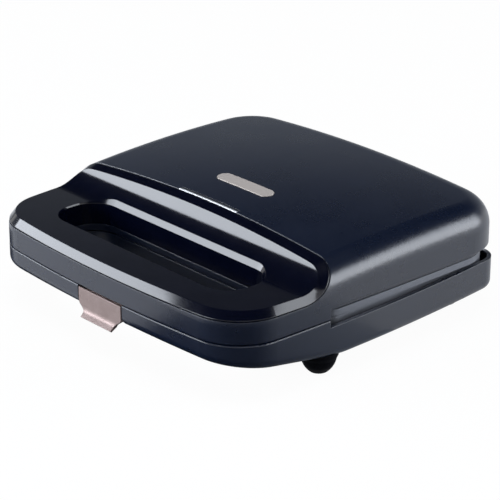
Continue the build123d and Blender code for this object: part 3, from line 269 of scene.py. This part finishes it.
tree.links.new(frost_to_seam_shade_mask.outputs["Result"], tree.nodes["colour"].inputs["Factor"])
dress(lens_frost_and_seam_shade, "indicator_lens")

# Pilot lamps: two neon lamps under tinted caps, behind the lens.
# Tinted glass, one red for power and one green for ready.
for lamp, tint, pale_tint in (
    ("power_lamp", (0.55, 0.05, 0.03), (0.75, 0.12, 0.06)),
    ("ready_lamp", (0.05, 0.40, 0.08), (0.12, 0.60, 0.16)),
):
    lamp_cap = make_finish(
        lamp + "_cap", grain, {"Fineness": 800, "Cloudiness": 260},
        colours=(tint, pale_tint), roughness=(0.08, 0.16), bump=0.05, bump_depth=0.00004,
    )
    dress(lamp_cap, lamp)

# Badge: a thin pressed pill, glued into its recess in the crown of the lid.
# Aluminium, brushed along its length and anodised in champagne.
badge_brushed = make_finish(
    "champagne_brushed_badge", lines, {"Stretch": (0.03, 1, 1), "Fineness": 2400},
    colours=((0.47, 0.42, 0.385), (0.55, 0.495, 0.455)), colour_by="Height",
    roughness=(0.34, 0.50), roughness_by="Height",
    bump=0.12, bump_depth=0.00004, constants={"Metallic": 0.35},
)
dress(badge_brushed, "badge")

# Latch: the clip at the front, hung from its pin in the lid, with a finger lip at its foot.
# Moulded plastic sprayed with a satin champagne metallic lacquer, fine flake in the paint.
latch_lacquer = make_finish(
    "champagne_metallic_lacquer", grain, {"Fineness": 3200, "Cloudiness": 120},
    colours=((0.250, 0.188, 0.174), (0.297, 0.227, 0.212)), roughness=(0.32, 0.46), roughness_by="Height",
    bump=0.05, bump_depth=0.00003, edge_radius=0.0006, constants={"Metallic": 0.6},
)
dress(latch_lacquer, "latch")

# Pins and screws: hinge pins, latch pin and the screws that hold plates, trim, deck and clamp.
# Zinc-plated steel, with turned lines and a slightly patchy bright plating.
zinc_steel = make_finish(
    "zinc_plated_steel", lines, {"Stretch": (1, 1, 0.2), "Fineness": 2000},
    colours=((0.46, 0.47, 0.49), (0.62, 0.63, 0.65)), roughness=(0.22, 0.38), roughness_by="Height",
    bump=0.10, bump_depth=0.00004, constants={"Metallic": 1},
)
dress(zinc_steel, "hinge_pin_left", "hinge_pin_right", "latch_pin", "plate_screws_lower",
      "plate_screws_upper", "trim_screws", "deck_screws", "clamp_screws")

# Hinge cable sleeve: the ribbed rubber hose that takes the lid's leads from the base round the hinge.
# Moulded soft rubber, plugged into base and lid; the real hose bends when the lid opens, but this one is
# built in one fixed shape.
sleeve_radius = 0.0032
sleeve_rib_depth = 0.0006
sleeve_sides = 24
sleeve_start = (0.025, 0.1055, 0.025)
sleeve_plug = 0.0058
sleeve_bend = 0.006
sleeve_rise = 0.013
plug_steps, bend_steps, rise_steps = 6, 10, 14
quarter_turn = -math.pi / 2
weld_distance = 0.00001
base_bend_centre = (sleeve_start[0], sleeve_start[1] + sleeve_plug, sleeve_start[2] + sleeve_bend)
lid_bend_centre = (sleeve_start[0], base_bend_centre[1], base_bend_centre[2] + sleeve_rise)


def draw_out(steps, travel):
    """The picked ring extruded by equal steps, each by its own small travel."""
    for step in range(steps):
        bpy.ops.mesh.extrude_region_move(TRANSFORM_OT_translate={"value": travel})


bpy.ops.object.select_all(action="DESELECT")
bpy.ops.mesh.primitive_circle_add(vertices=sleeve_sides, radius=sleeve_radius, location=sleeve_start,
                                  rotation=(math.pi / 2, 0, 0))
sleeve = bpy.context.object
sleeve.name = "ribbed_hinge_sleeve"
bpy.ops.object.transform_apply(location=True, rotation=True)
bpy.ops.object.mode_set(mode="EDIT")
bpy.ops.mesh.select_all(action="SELECT")
draw_out(plug_steps, (0, sleeve_plug / plug_steps, 0))
bpy.ops.mesh.spin(steps=bend_steps, angle=quarter_turn, axis=(1, 0, 0), center=base_bend_centre)
draw_out(rise_steps, (0, 0, sleeve_rise / rise_steps))
bpy.ops.mesh.spin(steps=bend_steps, angle=quarter_turn, axis=(1, 0, 0), center=lid_bend_centre)
draw_out(plug_steps, (0, -sleeve_plug / plug_steps, 0))
bpy.ops.mesh.select_all(action="SELECT")
bpy.ops.mesh.remove_doubles(threshold=weld_distance)
bpy.ops.mesh.fill_holes(sides=0)
bpy.ops.mesh.select_all(action="SELECT")
bpy.ops.mesh.normals_make_consistent(inside=False)
bpy.ops.mesh.select_all(action="DESELECT")
bpy.ops.object.mode_set(mode="OBJECT")
for number, corner in enumerate(sleeve.data.vertices):
    corner.select = number // sleeve_sides % 2 == 1
bpy.ops.object.mode_set(mode="EDIT")
bpy.ops.transform.shrink_fatten(value=-sleeve_rib_depth)
bpy.ops.object.mode_set(mode="OBJECT")
smoothing = sleeve.modifiers.new("soft_ribs", "SUBSURF")
smoothing.levels = smoothing.render_levels = 1
bpy.ops.object.modifier_apply(modifier=smoothing.name)
bpy.ops.object.shade_smooth()
sleeve.data.materials.append(rubber)
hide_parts("hinge_cable_sleeve")
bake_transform(sleeve)

# Studio: pale floor, white surround, three softboxes, four dark flags, and a camera at the photo's angle.
# The flags keep white out of reflections in the lid's crown, the handle's front corner and the slot. Seen
# only in reflections, their dark cloth is painted shade and their graded glow a painted reflection; the slot
# flag stands for the floor's shade under the handle.
floor_size = 6
background_seen, background_mirrored = 0.96, 0.25
bpy.ops.object.select_all(action="DESELECT")
bpy.ops.mesh.primitive_plane_add(size=floor_size, location=(0, 0, 0))
floor = bpy.context.object
floor.name = "floor"
floor_paint = bpy.data.materials.new("pale_floor")
floor_paint.use_nodes = True
tree = floor_paint.node_tree
chalk = tree.nodes["Principled BSDF"]
set_values(chalk, {"Base Color": (0.82, 0.82, 0.82, 1), "Roughness": 0.9, "Specular IOR Level": 0.1})
white = tree.nodes.new("ShaderNodeEmission")


def background_share(tree, straight, mirrored):
    """How much of the plain white background a ray shows: straight, or by a mirror or glass."""
    path = tree.nodes.new("ShaderNodeLightPath")
    either = tree.nodes.new("ShaderNodeMath")
    either.operation = "MAXIMUM"
    weaker = tree.nodes.new("ShaderNodeMath")
    weaker.operation = "MULTIPLY"
    weaker.inputs[1].default_value = mirrored
    total = tree.nodes.new("ShaderNodeMath")
    total.operation = "MULTIPLY_ADD"
    total.inputs[1].default_value = straight
    tree.links.new(path.outputs["Is Glossy Ray"], either.inputs[0])
    tree.links.new(path.outputs["Is Transmission Ray"], either.inputs[1])
    tree.links.new(either.outputs["Value"], weaker.inputs[0])
    tree.links.new(path.outputs["Is Camera Ray"], total.inputs[0])
    tree.links.new(weaker.outputs["Value"], total.inputs[2])
    return total.outputs["Value"]


def show_background(tree, straight, mirrored, lit, plain, output):
    """A lit surface mixed with the plain white background, by what each ray is."""
    mix = tree.nodes.new("ShaderNodeMixShader")
    tree.links.new(background_share(tree, straight, mirrored), mix.inputs["Fac"])
    tree.links.new(lit, mix.inputs[1])
    tree.links.new(plain, mix.inputs[2])
    tree.links.new(mix.outputs["Shader"], tree.nodes[output].inputs["Surface"])


show_background(tree, background_seen, background_mirrored, chalk.outputs["BSDF"], white.outputs["Emission"],
                "Material Output")
floor.data.materials.append(floor_paint)

surround = bpy.data.worlds.new("surround")
surround.use_nodes = True
bpy.context.scene.world = surround
tree = surround.node_tree
glow = tree.nodes["Background"]
set_values(glow, {"Color": (0.92, 0.96, 1.0, 1), "Strength": 0.30})
plain = tree.nodes.new("ShaderNodeBackground")
plain.inputs["Color"].default_value = (1, 1, 1, 1)
show_background(tree, 1, 1, glow.outputs["Background"], plain.outputs["Background"], "World Output")


def painted_reflection_cloth(name, near, far, brightest, rearwards):
    """Dark cloth with a faint glow that grows from near to far, towards the rear or all round the middle:
    painted shade and a painted reflection, seen only in reflections.
    """
    cloth = bpy.data.materials.new(name)
    cloth.use_nodes = True
    tree = cloth.node_tree
    weave = tree.nodes["Principled BSDF"]
    set_values(weave, {"Base Color": (0.005, 0.005, 0.006, 1), "Roughness": 1,
                       "Emission Color": (0.84, 0.91, 1.0, 1)})
    where = tree.nodes.new("ShaderNodeNewGeometry")
    if rearwards:
        measure = tree.nodes.new("ShaderNodeSeparateXYZ")
        reading = measure.outputs["Y"]
    else:
        measure = tree.nodes.new("ShaderNodeVectorMath")
        measure.operation = "LENGTH"
        reading = measure.outputs["Value"]
    fade = tree.nodes.new("ShaderNodeMapRange")
    fade.interpolation_type = "SMOOTHSTEP"
    set_values(fade, {"From Min": near, "From Max": far, "To Min": 0, "To Max": brightest})
    tree.links.new(where.outputs["Position"], measure.inputs[0])
    tree.links.new(reading, fade.inputs["Value"])
    tree.links.new(fade.outputs["Result"], weave.inputs["Emission Strength"])
    return cloth


flat = (0, 0, 0)
upright = (math.pi / 2, 0, math.radians(48))
flag_cloth = painted_reflection_cloth("painted_reflection_flag_cloth", near=1.6, far=3.0, brightest=0.30, rearwards=False)
corner_cloth = painted_reflection_cloth("painted_corner_reflection_cloth", near=-0.12, far=0.02, brightest=0.45, rearwards=True)
# Flags hidden from camera, diffuse light and shadow: painted shade and painted reflections of floor and
# surround.
for name, centre, size, turn, cloth in (
    ("top_flag", (-2.1, 1.25, 0.9), (6.8, 8.5), flat, flag_cloth),
    ("rear_flag", (-3.7, 3.4, 0.45), (8.0, 0.9), upright, flag_cloth),
    ("front_flag", (0.30, -0.365, 0.004), (0.60, 0.77), flat, corner_cloth),
    ("slot_flag", (-0.07, -0.0815, 0.005), (0.26, 0.073), flat, flag_cloth),
):
    bpy.ops.mesh.primitive_plane_add(size=1, location=centre, rotation=turn)
    flag = bpy.context.object
    flag.name = name
    flag.scale = (*size, 1)
    flag.data.materials.append(cloth)
    flag.visible_camera = False
    flag.visible_diffuse = False
    flag.visible_shadow = False

softbox_tint = (0.87, 0.92, 1.0)
softbox_target = Vector((0, 0, 0.04))


def softbox(name, direction, distance, width, height, power):
    """An area light that faces the press from a direction."""
    lamp = bpy.data.lights.new(name, "AREA")
    lamp.shape = "RECTANGLE"
    lamp.size = width
    lamp.size_y = height
    lamp.energy = power
    lamp.color = softbox_tint
    holder = bpy.data.objects.new(name, lamp)
    aim = Vector(direction).normalized()
    holder.location = softbox_target + aim * distance
    holder.rotation_euler = aim.to_track_quat("Z", "Y").to_euler()
    bpy.context.scene.collection.objects.link(holder)


softbox("left_softbox", (-0.55, -0.79, 0.31), distance=1.6, width=2.1, height=0.5, power=34)
softbox("right_softbox", (0.71, 0.64, 0.33), distance=1.5, width=1.2, height=0.75, power=14)
softbox("top_softbox", (0.1, -0.1, 1.0), distance=1.6, width=0.8, height=0.8, power=13)

eye = Vector((0.92117, -0.8279, 0.55735))
look = Vector((0.005065, -0.003846, 0.0342))
lens = bpy.data.cameras.new("photo_camera")
lens.lens = 157.86
lens.sensor_width = 36
lens.clip_end = 20
camera = bpy.data.objects.new("photo_camera", lens)
camera.location = eye
camera.rotation_euler = (eye - look).to_track_quat("Z", "Y").to_euler()
bpy.context.scene.collection.objects.link(camera)
bpy.context.scene.camera = camera
bpy.context.scene.view_settings.view_transform = "Standard"
